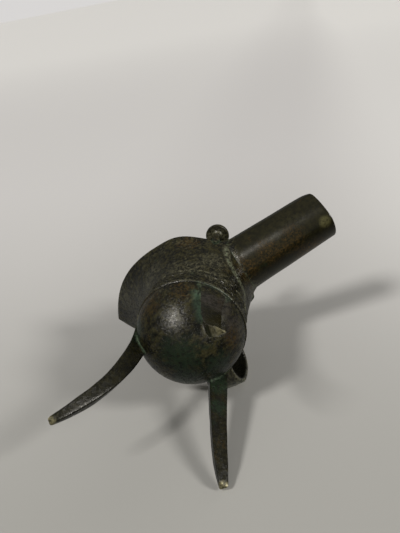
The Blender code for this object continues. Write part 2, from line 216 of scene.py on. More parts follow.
def ornament(turn, rise):  # how far the surface stands out, mm
    low, high = band["low"], band["high"]
    broken = smoothStep(band["brokenFrom"], band["brokenFull"], ripple(turn, rise, "breaks"))
    strayed = rise + sum(reach * np.sin(often * turn + start) for reach, often, start in band["stray"])
    height = raisedLine(rise, low, band["lowKept"], broken)
    height = height + raisedLine(strayed, high, band["highKept"], broken)
    start, full = band["margin"]
    inside = smoothStep(low + start, low + full, rise) * (1 - smoothStep(high - full, high - start, rise))
    row = np.clip((rise - low) / (high - low), 0, 0.999) * band["tileRows"]
    coils = coilRows(turn, row, band["tilesAround"])
    height = height + band["scroll"] * (coils - band["scrollSunk"]) * inside
    start, full = band["fieldMargin"]
    above = smoothStep(high + start, high + full, rise)
    above = above * (1 - smoothStep(band["fieldTop"] - band["fieldFade"], band["fieldTop"], rise))
    above = above * smoothStep(band["fieldFrom"], band["fieldFrom"] + band["fieldEase"], np.abs(turn))
    reach, often = band["fieldSway"]
    row = (rise - high) / band["fieldRow"]
    coils = coilRows(turn + reach * np.sin(often * rise), row, band["fieldTiles"])
    height = height + band["field"] * (coils - band["fieldSunk"]) * above
    return height * wornShare(turn, rise)


def spoutSection(inset):
    wallPart = [(1.0, deep) for deep in grain["spoutWall"]]
    drop = spout["depth"] - inset - spout["straightSide"]
    angles = np.linspace(0.0, math.pi, grain["spoutArc"] + 1)
    power = 2 / spout["roundness"]
    across = np.sign(np.cos(angles)) * np.abs(np.cos(angles)) ** power
    deeps = spout["straightSide"] + drop * np.abs(np.sin(angles)) ** power
    farPart = [(-1.0, deep) for _, deep in reversed(wallPart)]
    return np.array(wallPart + list(zip(across, deeps)) + farPart)


def spoutSkin(section, run, inset):
    return sectionPlace(run, section[:, 0] * (spoutHalf(run) - inset), section[:, 1])


def creaseRuns(section, inset):  # where the channel comes out of the body
    low, high = (np.full(len(section), run) for run in spout["search"])
    for _ in range(grain["halvings"]):
        middle = (low + high) / 2
        x, y, rise = spoutSkin(section, middle, inset)
        within = np.hypot(x, y) < skinRadius(np.arctan2(y, x), rise, inset)
        low, high = np.where(within, middle, low), np.where(within, high, middle)
    return (low + high) / 2


def endRuns(section):
    deep = section[:, 1]
    corner = spout["corner"]
    rounding = corner - np.sqrt(np.maximum(0.0, corner ** 2 - np.maximum(0.0, corner - deep) ** 2))
    return spout["length"] + spout["endSlant"] * deep + spout["endTurn"] * section[:, 0] - rounding


def sideShares():
    return (np.arange(1, grain["sideSteps"]) / grain["sideSteps"]) ** grain["sideCrowding"]


def skinColumns(inset):  # turn at the cord, turn and rise at the top
    shares = np.concatenate([[0.0], sideShares()])
    x, y, rise = lipPlace(shares)
    tops = np.arctan2(y, x)
    feet = tops - (rootTurn - grain["footTurn"]) * shares ** 2
    section = spoutSection(inset)
    sx, sy, srise = spoutSkin(section, creaseRuns(section, inset), inset)
    spoutTops = np.arctan2(sy, sx) % (2 * math.pi)
    spoutFeet = np.linspace(grain["footTurn"], 2 * math.pi - grain["footTurn"], len(section))
    return (np.concatenate([feet, spoutFeet, 2 * math.pi - feet[:0:-1]]),
            np.concatenate([tops, spoutTops, 2 * math.pi - tops[:0:-1]]),
            np.concatenate([rise, srise, rise[:0:-1]]))


def signedTurn(turn):
    return np.where(turn > math.pi, turn - 2 * math.pi, turn)


def addRow(bm, x, y, rise):
    return [bm.verts.new(place(*p)) for p in zip(x, y, rise)]


def weave(bm, first, second, closed):  # faces between two rows
    count = len(first)
    for i in range(count if closed else count - 1):
        j = (i + 1) % count
        bm.faces.new((first[i], first[j], second[j], second[i]))


def fan(bm, row, tip):
    for i in range(len(row)):
        bm.faces.new((row[i], row[(i + 1) % len(row)], tip))


def bodySkin(bm, inset):
    feet, tops, topRises = skinColumns(inset)
    radius, drop = body["cordRadius"] - inset, body["bowlDrop"] - inset
    bowlRows = grain["bowlRows"] if inset == 0 else grain["innerBowlRows"]
    rows = []

    def addRing(out, level):  # a level ring of one radius
        rows.append((np.full(len(feet), out), feet, np.full(len(feet), level)))

    for i in range(1, bowlRows):
        angle = 0.5 * math.pi * i / bowlRows
        addRing(radius * math.sin(angle), -drop * math.cos(angle))
    if inset == 0:
        for i in range(-grain["cordSteps"], grain["cordSteps"] + 1):  # the cord's rounded back
            share = i / grain["cordSteps"]
            addRing(radius + body["cordRelief"] * math.sqrt(1 - share ** 2), body["cordHalf"] * share)
        bandFrom, bandTo = body["cordHalf"] + grain["cordGap"], band["high"] + grain["bandSpare"]
        fixed = list(np.arange(bandFrom, bandTo, grain["bandStep"]))
        fixed += list(np.arange(fixed[-1] + grain["fieldGap"], band["fieldTop"], grain["fieldStep"]))
        uppers = grain["upperRows"]
    else:
        addRing(radius, 0.0)
        fixed = list(np.arange(*grain["innerLevels"]))
        uppers = grain["innerRows"]
    levels = [np.full(len(feet), level) for level in fixed]
    levels += [fixed[-1] + (topRises - fixed[-1]) * i / uppers for i in range(1, uppers + 1)]
    for level in levels:
        turns = feet + (tops - feet) * (level / topRises) ** grain["leanPower"]
        radii = skinRadius(signedTurn(turns), level, inset)
        if inset == 0:
            radii = radii + ornament(signedTurn(turns), level)
        rows.append((radii, turns, level))
    rings = [addRow(bm, out * np.cos(turns), out * np.sin(turns), level) for out, turns, level in rows]
    fan(bm, rings[0], bm.verts.new(place(0.0, 0.0, -drop)))
    for lower, upper in zip(rings, rings[1:]):
        weave(bm, lower, upper, True)
    return rings[-1], rings[-2]


def spoutSkins(bm, crease, inset):
    section = spoutSection(inset)
    starts, ends = creaseRuns(section, inset), endRuns(section)
    rows = [crease]
    for i in range(1, grain["spoutRows"] + 1):
        x, y, rise = spoutSkin(section, starts + (ends - starts) * i / grain["spoutRows"], inset)
        rows.append(addRow(bm, x, y, rise))
        weave(bm, rows[-2], rows[-1], False)
    return rows


def edgeOf(top, below, rows, first, last):  # the free edge with the row just behind it
    edge = [(top[i], below[i]) for i in [*range(last + 1, len(top)), *range(first)]]
    edge += [(row[0], row[1]) for row in rows[:-1]]
    edge.append((rows[-1][0], rows[-2][1]))
    edge += list(zip(rows[-1][1:-1], rows[-2][1:-1]))
    edge.append((rows[-1][-1], rows[-2][-2]))
    edge += [(row[-1], row[-2]) for row in rows[-2::-1]]
    return edge


def roundEdge(bm, outer, inner):  # a rounded bead of metal between the two faces
    ledges = []
    most = 0.8  # of the row behind, so that no row is passed
    for (outVert, outBack), (inVert, inBack) in zip(outer, inner):
        outWay, inWay = outVert.co - outBack.co, inVert.co - inBack.co
        reach = min(lip["edgeRound"] * mm, most * outWay.length, most * inWay.length)
        way = (outWay.normalized() + inWay.normalized()).normalized()
        outVert.co -= outWay.normalized() * reach
        inVert.co -= inWay.normalized() * reach
        ledges.append(((outVert.co + inVert.co) / 2, (outVert.co - inVert.co) / 2, way * reach))
    previous = [outVert for outVert, _ in outer]
    for i in range(1, lip["edgeSteps"]):
        sweep = math.pi * i / lip["edgeSteps"]
        row = [bm.verts.new(centre + side * math.cos(sweep) + way * math.sin(sweep))
               for centre, side, way in ledges]
        weave(bm, previous, row, True)
        previous = row
    weave(bm, previous, [inVert for inVert, _ in inner], True)


def castBody():
    bm = bmesh.new()
    edges = []
    first = grain["sideSteps"]
    last = first + len(spoutSection(0.0)) - 1
    for inset in (0.0, body["wall"]):
        top, below = bodySkin(bm, inset)
        rows = spoutSkins(bm, top[first:last + 1], inset)
        edges.append(edgeOf(top, below, rows, first, last))
    roundEdge(bm, *edges)
    return bm


def newPiece(name, bm, hidden=True):
    bmesh.ops.recalc_face_normals(bm, faces=bm.faces)
    mesh = bpy.data.meshes.new(name)
    bm.to_mesh(mesh)
    bm.free()
    piece = bpy.data.objects.new(name, mesh)
    bpy.context.scene.collection.objects.link(piece)
    piece.hide_render = hidden
    return piece


def softCorner(points, radius, steps):  # a closed outline with its corners rounded
    outline = []
    most = 0.45  # of each side, so that two corners never meet
    for i, point in enumerate(points):
        before, after = points[i - 1], points[(i + 1) % len(points)]
        toBefore, toAfter = (before - point), (after - point)
        start = point + toBefore.normalized() * min(radius[i], most * toBefore.length)
        end = point + toAfter.normalized() * min(radius[i], most * toAfter.length)
        for k in range(steps + 1):
            t = k / steps
            outline.append(start * (1 - t) ** 2 + point * 2 * t * (1 - t) + end * t * t)
    return outline


def subdivided(outline, pieces):  # extra places along each stretch
    dense = []
    for i, point in enumerate(outline):
        after = outline[(i + 1) % len(outline)]
        dense += [point.lerp(after, k / pieces) for k in range(pieces)]
    return dense


def sweepRows(bm, rows):  # a closed bar through rows of places
    rings = [[bm.verts.new(p) for p in row] for row in rows]
    for lower, upper in zip(rings, rings[1:]):
        weave(bm, lower, upper, True)
    for ring, way in ((rings[0], 1), (rings[-1], -1)):
        middle = sum((v.co for v in ring), Vector()) / len(ring)
        fan(bm, ring[::way], bm.verts.new(middle))


legs = {
    "tail": {"turn": 21.6, "toe": 65.4, "straight": 0.03, "bend": 2.82, "sway": 0.0},
    "handle": {"turn": -89.6, "toe": 56.6, "straight": 0.74, "bend": 4.0, "sway": 0.0},
    "spout": {"turn": 149.8, "toe": 59.4, "straight": 0.36, "bend": 3.0, "sway": 3.0},
}
blade = {  # what the three legs share
    "rootDrop": 7.8, "leanEase": 0.06, "faceRadius": 34.1, "rootWidth": 23.2, "neckWidth": 14.8,
    "neckDrop": 19.0, "shinWidth": 10.8, "shinDrop": 0.8, "toeWidth": 6.0, "toePower": 1.4,
    "rootDepth": 10.0, "toeDepth": 5.3, "middle": 0.45, "edge": 0.9, "ridge": 1.6, "swayPower": 1.5,
    "dents": 0.14, "dentSize": 0.11, "waver": 0.18, "waverSize": 0.12, "waverSquash": 0.3,
    "rows": 74, "edgeSteps": 3, "edgePieces": 4, "toeRound": 1.8, "toeShrink": 0.36, "toeRows": 6,
}


def bladeWidth(drop):
    neckDrop, shinDrop = blade["neckDrop"], blade["shinDrop"] * body["cordHeight"]
    if drop < neckDrop:
        share = (1 - drop / neckDrop) ** 2
        return blade["neckWidth"] + (blade["rootWidth"] - blade["neckWidth"]) * share
    if drop < shinDrop:
        share = (drop - neckDrop) / (shinDrop - neckDrop)
        return blade["neckWidth"] + (blade["shinWidth"] - blade["neckWidth"]) * share
    share = ((drop - shinDrop) / (body["cordHeight"] - shinDrop)) ** blade["toePower"]
    return blade["shinWidth"] + (blade["toeWidth"] - blade["shinWidth"]) * share


def bladeFace(leg, drop):  # the outer face's distance from the middle line
    share = max(0.0, drop - blade["rootDrop"]) / (body["cordHeight"] - blade["rootDrop"])
    ease = blade["leanEase"]
    lean = (share - ease * (1 - math.exp(-share / ease))) / (1 - ease)
    travel = leg["straight"] * lean + (1 - leg["straight"]) * share ** leg["bend"]
    return blade["faceRadius"] + (leg["toe"] - blade["faceRadius"]) * travel


def spun(turn, out, side, rise):  # a place out along a turn and off to its side
    ahead, aside = math.cos(turn), math.sin(turn)
    return place(out * ahead - side * aside, out * aside + side * ahead, rise)


def bladeRow(leg, drop, shrink, seed):
    half = bladeWidth(drop) / 2 * shrink
    depth = blade["rootDepth"] + (blade["toeDepth"] - blade["rootDepth"]) * (drop / body["cordHeight"]) ** 2
    middle = bladeFace(leg, drop) - blade["middle"] * depth
    depth *= shrink
    face = middle + blade["middle"] * depth
    hug = min(1.0, max(0.0, 1 - drop / (2 * blade["neckDrop"])))
    corners = [Vector((-half, face)), Vector((half, face)), Vector((0.0, face - depth))]
    outline = softCorner(corners, [blade["edge"], blade["edge"], blade["ridge"]], blade["edgeSteps"])
    squash = blade["waverSquash"]
    row = []
    for side, out in subdivided(outline, blade["edgePieces"]):
        hollow = blade["faceRadius"] - math.sqrt(blade["faceRadius"] ** 2 - side ** 2)
        out -= hug * hollow * (1 - (face - out) / depth)
        dent = noise.noise(Vector((side, out, drop)) * blade["dentSize"] + Vector((seed, 0, 0)))
        out += blade["dents"] * dent
        spot = Vector((squash * side, squash * out, drop)) * blade["waverSize"]
        side += blade["waver"] * noise.noise(spot + Vector((0, seed, 5)))
        side += leg["sway"] * (drop / body["cordHeight"]) ** blade["swayPower"]
        row.append(spun(math.radians(leg["turn"]), out, side, -drop))
    return row


def castLeg(leg, seed):
    bm = bmesh.new()
    ground = body["cordHeight"]
    drops = [(ground - blade["toeRound"]) * i / blade["rows"] for i in range(blade["rows"] + 1)]
    rows = [bladeRow(leg, drop, 1.0, seed) for drop in drops]
    for i in range(1, blade["toeRows"] + 1):  # worn round at the toe
        sweep = 0.5 * math.pi * i / blade["toeRows"]
        drop = ground - blade["toeRound"] * (1 - math.sin(sweep))
        rows.append(bladeRow(leg, drop, 1 - blade["toeShrink"] * (1 - math.cos(sweep)), seed))
    sweepRows(bm, rows)
    return bm


def castHandle():
    bm = bmesh.new()
    half, thick = handle["width"] / 2, handle["thickness"] / 2
    topRise = handle["middleRise"] + handle["halfHeight"]
    topWall = float(wallRadius(handle["turn"], topRise)) - body["wall"] / 2
    power = 2 / handle["squareness"]
    path = [Vector((topWall, topRise))]
    for i in range(1, handle["steps"]):
        angle = 0.5 * math.pi * (1 - 2 * i / handle["steps"])
        out = body["cordRadius"] + handle["out"] * abs(math.cos(angle)) ** power
        climb = handle["halfHeight"] * abs(math.sin(angle)) ** power
        rise = handle["middleRise"] + math.copysign(climb, angle)
        if out > topWall + thick:
            path.append(Vector((out, rise)))
    footWall, footRise = body["cordRadius"] - body["wall"] / 2, handle["middleRise"] - handle["halfHeight"]
    path.append(Vector((footWall, footRise)))
    rows = []
    for i, spot in enumerate(path):
        along = (path[min(len(path) - 1, i + 1)] - path[max(0, i - 1)]).normalized()
        if i in (0, len(path) - 1):
            along = Vector((1.0 if i == 0 else -1.0, 0.0))
        outward = Vector((-along.y, along.x))
        fromEnd = min(i, len(path) - 1 - i) / handle["flareSteps"]
        wide = half * (1 + handle["flare"] * math.exp(-fromEnd))  # the strap spreads where it joins
        sides = ((-wide, thick), (wide, thick), (wide, -thick), (-wide, -thick))
        corners = [Vector(corner) for corner in sides]
        outline = softCorner(corners, [handle["edge"]] * 4, handle["edgeSteps"])
        row = []
        for side, up in subdivided(outline, handle["edgePieces"]):
            if up > 0:
                up *= 1 + (handle["crown"] - 1) * (1 - (side / half) ** 2)
            row.append(spun(handle["turn"], spot.x + outward.x * up, side, spot.y + outward.y * up))
        rows.append(row)
    sweepRows(bm, rows)
    return bm


post = {  # widths are shares of the stem's or the cap's radius
    "near": {"rootX": -21.8, "inset": 1.1, "cap": (-22.2, -19.0)},
    "far": {"rootX": -23.5, "inset": 0.0, "cap": (-21.3, 21.6)},
    "stem": 2.6, "rootDrop": 5.0, "rootRadius": 0.8, "stemFoot": 1.12, "footDrop": 0.9,
    "stemNeck": 0.86, "stemHead": 1.05, "capThroat": 1.5,
    "capRadius": 8.3, "capRise": 80.6, "capEdge": 2.2, "capTop": 90.3, "capHollow": 1.2,
    "capUnder": 0.78, "capLower": 0.94, "capSide": 0.99, "capShoulder": 0.992,
    "lowerRise": 0.5, "sideRise": 1.1, "sidePower": 1.35, "climbPower": 0.8, "capRows": 16, "rowStep": 0.7,
    "whorl": 0.22, "arms": 5, "armTwist": 7.5, "whorlFrom": 0.22, "whorlSpan": 0.7, "around": 60,
}


def postProfile(lipRise):  # radius and rise from the root up
    stem, cap = post["stem"], post["capRadius"]
    capRise, hollow = post["capRise"], post["capHollow"]
    edgeRise, edgeRadius = capRise + post["capEdge"], cap * post["capShoulder"]
    knots = [(post["rootRadius"], lipRise - post["rootDrop"]),
             (stem * post["stemFoot"], lipRise - post["footDrop"]), (stem, lipRise + post["rootDrop"]),
             (stem * post["stemNeck"], capRise - 2 * hollow),
             (stem * post["stemHead"], capRise + 0.3 * hollow),
             (stem * post["capThroat"], capRise + hollow),
             (cap * post["capUnder"], capRise + 0.5 * hollow), (cap * post["capLower"], capRise),
             (cap * post["capSide"], capRise + post["lowerRise"]),
             (cap, capRise + post["sideRise"]), (edgeRadius, edgeRise)]
    for i in range(1, post["capRows"]):
        share = i / post["capRows"]
        rise = edgeRise + (post["capTop"] - edgeRise) * share ** post["climbPower"]
        knots.append((edgeRadius * (1 - share ** post["sidePower"]), rise))
    dense = []
    for (radius, rise), (nextRadius, nextRise) in zip(knots, knots[1:]):
        pieces = max(1, int(math.hypot(nextRadius - radius, nextRise - rise) / post["rowStep"]))
        dense += [(radius + (nextRadius - radius) * k / pieces, rise + (nextRise - rise) * k / pieces)
                  for k in range(pieces)]
    return dense + [knots[-1]]


def whorlLift(radius, turn, mirror):  # a shallow whorl turning up the cap
    share = radius / post["capRadius"]
    arm = max(0.0, math.cos(post["arms"] * turn + mirror * post["armTwist"] * share))
    reach = min(1.0, max(0.0, (share - post["whorlFrom"]) / post["whorlSpan"]))
    return -post["whorl"] * arm * math.sin(math.pi * reach)


def castPost(which):
    bm = bmesh.new()
    capX, capY = which["cap"]
    share = 0.5 + 0.5 * (which["rootX"] - lip["widestX"]) / (spout["rootX"] - lip["widestX"])
    x, y, rise = (float(v) for v in lipPlace(np.array(share)))
    mirror = math.copysign(1.0, capY)
    y = mirror * (y - body["wall"] / 2 - which["inset"])
    rows = []
    for radius, level in postProfile(rise):
        lean = min(1.0, (level - rise) / (post["capRise"] - rise))
        midX, midY = x + (capX - x) * lean, y + (capY - y) * lean
        onCap = level > post["capRise"] + post["capEdge"]
        row = []
        for k in range(post["around"]):
            turn = 2 * math.pi * k / post["around"]
            lift = whorlLift(radius, turn, mirror) if onCap else 0.0
            row.append(place(midX + radius * math.cos(turn), midY + radius * math.sin(turn), level + lift))
        rows.append(row)
    sweepRows(bm, rows)
    return bm


bowlCore = {"rows": 24, "around": 96, "top": 8.0}  # the bowl's hollow, kept clear of the leg roots


def castCore():
    bm = bmesh.new()
    radius, drop = body["cordRadius"] - body["wall"] / 2, body["bowlDrop"] - body["wall"] / 2
    sweeps = [0.5 * math.pi * i / bowlCore["rows"] for i in range(1, bowlCore["rows"] + 1)]
    rows = [(radius * math.sin(sweep), -drop * math.cos(sweep)) for sweep in sweeps]
    rows.append((radius, bowlCore["top"]))
    turns = [2 * math.pi * k / bowlCore["around"] for k in range(bowlCore["around"])]
    sweepRows(bm, [[place(out * math.cos(turn), out * math.sin(turn), level) for turn in turns]
                   for out, level in rows])
    return bm


wear = {  # how the cast shape is read for its finish
    "sameSpot": 1e-7, "bandFrom": 0.9, "leastRise": 0.1, "bandDepth": 1.0, "raisedMost": 1.0,
    "keenMost": 3.0, "keenPasses": 2, "shortEdge": 0.05, "seamSteps": 24, "sharp": math.radians(48),
}


def vertexPlaces(mesh):
    flat = np.empty(len(mesh.vertices) * 3, np.float32)
    mesh.vertices.foreach_get("co", flat)
    return flat.reshape(-1, 3)


def treeOf(places):
    tree = KDTree(len(places))
    for i, spot in enumerate(places):
        tree.insert(spot, i)
    tree.balance()
    return tree


def joinInOne(cup, parts):  # one solid, and the places where castings meet
    sources = treeOf(np.concatenate([vertexPlaces(piece.data) for piece in [cup, *parts]]))
    for part in parts:
        join = cup.modifiers.new("with_" + part.name, "BOOLEAN")
        join.operation, join.solver, join.object = "UNION", "EXACT", part
    joined = cup.evaluated_get(bpy.context.evaluated_depsgraph_get())
    solid = bpy.data.meshes.new_from_object(joined)
    cup.modifiers.clear()
    cup.data = solid
    return [spot for spot in vertexPlaces(solid) if sources.find(spot)[2] > wear["sameSpot"]]


def creasePlaces():  # the line where the spout leaves the body
    section = spoutSection(0.0)
    return [place(*spot) for spot in zip(*spoutSkin(section, creaseRuns(section, 0.0), 0.0))]


def store(mesh, name, values):
    field = mesh.attributes.new(name, "FLOAT", "POINT")
    field.data.foreach_set("value", np.asarray(values, np.float32))


def keenness(mesh, places):  # bend of the surface, + on outer edges, per mm
    normals = np.empty(len(places) * 3, np.float32)
    mesh.vertices.foreach_get("normal", normals)
    normals = normals.reshape(-1, 3)
    ends = np.empty(len(mesh.edges) * 2, np.int32)
    mesh.edges.foreach_get("vertices", ends)
    one, other = ends.reshape(-1, 2).T
    along = places[other] - places[one]
    length = np.maximum(np.linalg.norm(along, axis=1), wear["shortEdge"])
    total, weight = np.zeros(len(places)), np.zeros(len(places))
    for here, way in ((one, 1.0), (other, -1.0)):
        bend = -2 * way * np.einsum("ij,ij->i", along, normals[here]) / length ** 2
        np.add.at(total, here, bend * length)
        np.add.at(weight, here, length)
    bend = total / weight
    for _ in range(wear["keenPasses"]):
        total, weight = bend.copy(), np.ones(len(places))
        np.add.at(total, one, bend[other])
        np.add.at(total, other, bend[one])
        np.add.at(weight, one, 1.0)
        np.add.at(weight, other, 1.0)
        bend = total / weight
    return bend


patina = {  # colours of the old bronze, linear; the near-black grime colour also paints shadow inside the handle's loop
    "dark": (0.0016, 0.0018, 0.0009, 1), "olive": (0.027, 0.0245, 0.0085, 1),
    # lilacSheen is partly the bronze's own lilac-grey and partly painted sheen of reflected light
    "ash": (0.092, 0.090, 0.060, 1), "lilacSheen": (0.050, 0.044, 0.042, 1), "warm": (0.030, 0.019, 0.0050, 1),
    "rust": (0.070, 0.043, 0.012, 1), "damp": (0.0100, 0.0190, 0.0105, 1),
    "verdigris": (0.040, 0.076, 0.048, 1), "crust": (0.20, 0.26, 0.18, 1),
    "ochre": (0.085, 0.080, 0.034, 1), "gold": (0.27, 0.25, 0.15, 1), "grimeAndShade": (0.0020, 0.0022, 0.0014, 1),
    "roughness": 0.26, "spoutPolish": 0.085, "bareMetal": 0.4, "shine": 1.44, "bump": 1.0,
}
seamStops = ((-30.1, 18.4, 56), (-30.6, 16.2, 48), (-31.2, 13.4, 41.6), (-32.6, 8.2, 35),
             (-33.4, 2.5, 30.4), (-32.5, -6.7, 27), (-31.2, -11, 16))  # the crusted line below the spout
marks = {  # raggedness, then places with how far they reach
    "warm": (1.0, ((10, 30, -9), 13), ((-14, 29, -9), 9), ((-27, -9, -17), 8), ((-10, 35, 54), 9),
             ((-37, 2, 45), 11), ((-56, 3, 51), 11), ((-72, 1, 55), 11), ((38, -24, 30), 18),
             ((-75, -14, 66), 14)),
    "ash": (0.7, ((64, 20, 72), 13), ((20, 36, 34), 15), ((-25, 20, 34), 13), ((-15, 31, 20), 13),
            ((-30, 17, 16), 11)),
    # the lilacSheen places: partly the bronze's own tone, partly painted sheen on the spout leg and the
    # bowl beside it
    "lilacSheen": (0.4, ((-32, 17, -20), 13), ((-33, 8, -12), 9), ((-30, -7, -14), 10)),
    "caps": (0.3, ((-21, 22, 84), 10), ((-22, -19, 84), 10)),
    "damp": (1.0, ((0, 2, -33), 15), ((6, -14, -28), 12), ((-12, -16, -24), 10), ((22, 22, -14), 8),
             ((-5, -30, -22), 9), ((-1, -36, -38), 7), ((1, -52, 10), 8)),
    "stripe": (0.5, ((-20, 23, -13), 6), ((-19.5, 19, -19), 6), ((-18.6, 13.5, -24), 5)),
    "joins": (0.6, ((21, 12, -23), 9), ((30, 12, -14), 9), ((0, -25, -22), 9), ((6, -30, -14), 9)),
    "ochre": (0.6, ((-95, -0.5, 61), 5.0)),
    # worn golden toes; the spout leg's reaches further up, partly painted light where its lit lower face
    # shows
    "toes": (0.45, ((60.3, 23.8, -83), 4.5), ((0.4, -55.1, -83), 4.0), ((-50.0, 26.3, -81.0), 12.0)),
    "cord": (0.3, ((25.0, 24.0, 0), 3.2)),
}
clouds = {  # cells per mm, detail, roughness, shift
    "broad": (0.05, 3, 0.6, 0), "blotch": (0.13, 5, 0.62, 11), "mottle": (0.34, 5, 0.68, 23),
    "fine": (0.95, 4, 0.7, 37), "speck": (2.4, 3, 0.6, 51), "grit": (0.72, 5, 0.75, 64),
    "warm": (0.07, 4, 0.6, 71), "damp": (0.09, 5, 0.65, 93), "flecks": (0.6, 3, 0.6, 133),
    "pits": (0.45, 4, 0.62, 151),
}
zones = {  # mm where a zone starts and where it is full
    "spout": (-34.0, -38.0), "legsOut": (34.8, 36.5), "legsDown": (-2.0, -6.0), "lowDown": (-8.0, -18.0),
    "strapOut": (-33.0, -34.0), "strapSide": (9.0, 7.0), "stripe": (8.0, 2.0), "stripeEdge": (2.0, 0.8),
    "join": (1.9, 0.3), "crease": (1.2, 0.2), "grooveStart": (0.75, 1.15), "grooveEnd": (2.3, 1.5),
    "sunk": (0.02, -0.14), "high": (0.08, 0.26), "highFrom": (1.0, 1.4), "cordBack": (0.75, 0.4),
    "cordGold": (1.5, 1.0), "seamGrime": (5.0, 3.0), "seamAsh": (3.6, 1.2), "seamCrust": (2.6, 0.6),
}
grains = {  # where in a texture a thing starts and is full
    "place": (1.1, 0.5), "shade": (0.455, 0.565), "ash": (0.52, 0.64), "warm": (0.60, 0.70),
    "damp": (0.62, 0.70), "flecks": (0.54, 0.64), "fleckField": (0.38, 0.55), "line": (0.42, 0.58),
    "crusted": (0.42, 0.56), "keenEdge": (0.35, 1.2), "worn": (0.38, 0.56), "wornCord": (0.42, 0.54),
    "pits": (0.49, 0.40), "strap": (1.0, 0.93),
}
strengths = {"flecks": 0.42, "crusted": 0.75, "grooves": 0.85, "worn": 0.75, "strap": 0.9, "pits": 0.85}
coats = {  # colour, grain where it starts and is full, strength
    "ash": ("ash", 0.44, 0.58, 0.7), "lilacSheen": ("lilacSheen", 0.38, 0.54, 0.6),
    "warm": ("warm", 0.44, 0.53, 0.85), "rust": ("rust", 0.54, 0.62, 0.75),
    "damp": ("damp", 0.36, 0.50, 0.9), "green": ("verdigris", 0.36, 0.48, 0.95),
    "ochre": ("ochre", 0.36, 0.52, 0.8),
    "caps": ("ash", 0.40, 0.56, 0.7), "highPlaces": ("ash", 0.40, 0.56, 0.85),
    "seamGrime": ("grimeAndShade", 0.40, 0.52, 0.6), "seamAsh": ("ash", 0.44, 0.53, 0.9),
    "seamCrust": ("crust", 0.49, 0.58, 0.45), "gold": ("gold", 0.36, 0.54, 0.85),
}


def pouringSeam():
    stops = np.array(seamStops) + np.array([middleX, middleY, body["cordHeight"]])
    return np.concatenate([np.linspace(a, b, wear["seamSteps"]) for a, b in zip(stops, stops[1:])]) * mm


def weather(cup, joins):  # what the finish needs to know of the shape
    mesh = cup.data
    places = vertexPlaces(mesh)
    joinTree, creaseTree, seamTree = treeOf(joins), treeOf(creasePlaces()), treeOf(pouringSeam())
    x, y, rise = (places / mm - np.array([middleX, middleY, body["cordHeight"]])).T
    turn, radius = np.arctan2(y, x), np.hypot(x, y)
    standing = radius - wallRadius(turn, np.maximum(rise, wear["leastRise"]))
    onBand = (rise > wear["bandFrom"]) & (rise < band["fieldTop"]) & (standing > -wear["bandDepth"])
    raised = np.clip(np.where(onBand, standing, 0.0), -wear["raisedMost"], wear["raisedMost"])
    for name, tree in (("join", joinTree), ("crease", creaseTree), ("seam", seamTree)):
        store(mesh, name + "Distance", [tree.find(spot)[2] / mm for spot in places])
    store(mesh, "raised", raised)
    store(mesh, "keen", np.clip(keenness(mesh, places / mm), -wear["keenMost"], wear["keenMost"]))
    noise.seed_set(body["dentSeed"])  # the same dents each time
    for i, spot in enumerate(places):
        dent = np.array(noise.noise_vector(Vector(spot) / (body["dentSize"] * mm)))
        places[i] += dent * body["dents"] * mm
    places = np.clip(places, cadBox[0], cadBox[1])
    mesh.vertices.foreach_set("co", places.astype(np.float32).ravel())
    mesh.shade_smooth()
    mesh.set_sharp_from_angle(angle=wear["sharp"])
    mesh.update()


cup = newPiece("bronzeCup", castBody(), False)
core = newPiece("bowlCore", castCore())
parts = [newPiece("leg_" + name, castLeg(leg, 3.0 * i)) for i, (name, leg) in enumerate(legs.items())]
for leg in parts:
    cut = leg.modifiers.new("clearOfTheBowl", "BOOLEAN")
    cut.operation, cut.solver, cut.object = "DIFFERENCE", "EXACT", core
parts += [newPiece("handle", castHandle()), newPiece("postNear", castPost(post["near"])),
          newPiece("postFar", castPost(post["far"]))]
joins = joinInOne(cup, parts)
for extra in [core, *parts]:
    bpy.data.objects.remove(extra)
print("cup cast in one:", len(cup.data.polygons), "faces,", len(joins), "places on the joins")
weather(cup, joins)
print("cup weathered")


class Wire:  # a socket that can be used in sums
    def __init__(self, tree, socket):
        self.tree, self.socket = tree, socket

    def add(self, kind, settings=None, sockets=None, output=0):
        node = self.tree.nodes.new("ShaderNode" + kind)
        for key, value in (settings or {}).items():
            setattr(node, key, value)
        for key, value in (sockets or {}).items():
            if isinstance(value, Wire):
                self.tree.links.new(value.socket, node.inputs[key])
            else:
                node.inputs[key].default_value = value
        return Wire(self.tree, node.outputs[output] if len(node.outputs) else None)

    def maths(self, operation, *values):
        return self.add("Math", {"operation": operation}, dict(enumerate(values)))

    def __add__(self, other):
        return self.maths("ADD", self, other)

    __radd__ = __add__

    def __sub__(self, other):
        return self.maths("SUBTRACT", self, other)

    def __rsub__(self, other):
        return self.maths("SUBTRACT", other, self)

    def __mul__(self, other):
        return self.maths("MULTIPLY", self, other)

    __rmul__ = __mul__

    def __truediv__(self, other):
        return self.maths("DIVIDE", self, other)

    def ramp(self, low, high):  # 0 below low, 1 above high, eased between
        ends = {"From Min": low, "From Max": high, "Value": self}
        if low > high:
            return 1 - self.ramp(high, low)
        return self.add("MapRange", {"interpolation_type": "SMOOTHSTEP"}, ends)

    def most(self, other):
        return self.maths("MAXIMUM", self, other)

    def least(self, other):
        return self.maths("MINIMUM", self, other)

    def between(self, low, high):  # the colour low at 0 and high at 1
        return self.add("Mix", {"data_type": "RGBA"}, {0: self, 6: low, 7: high}, 2)

    def blend(self, colour, share):  # this colour, covered by another
        return share.between(self, colour)


def newFinish(name):
    material = bpy.data.materials.new(name)
    material.use_nodes = True
    material.node_tree.nodes.clear()
    return material, Wire(material.node_tree, None)


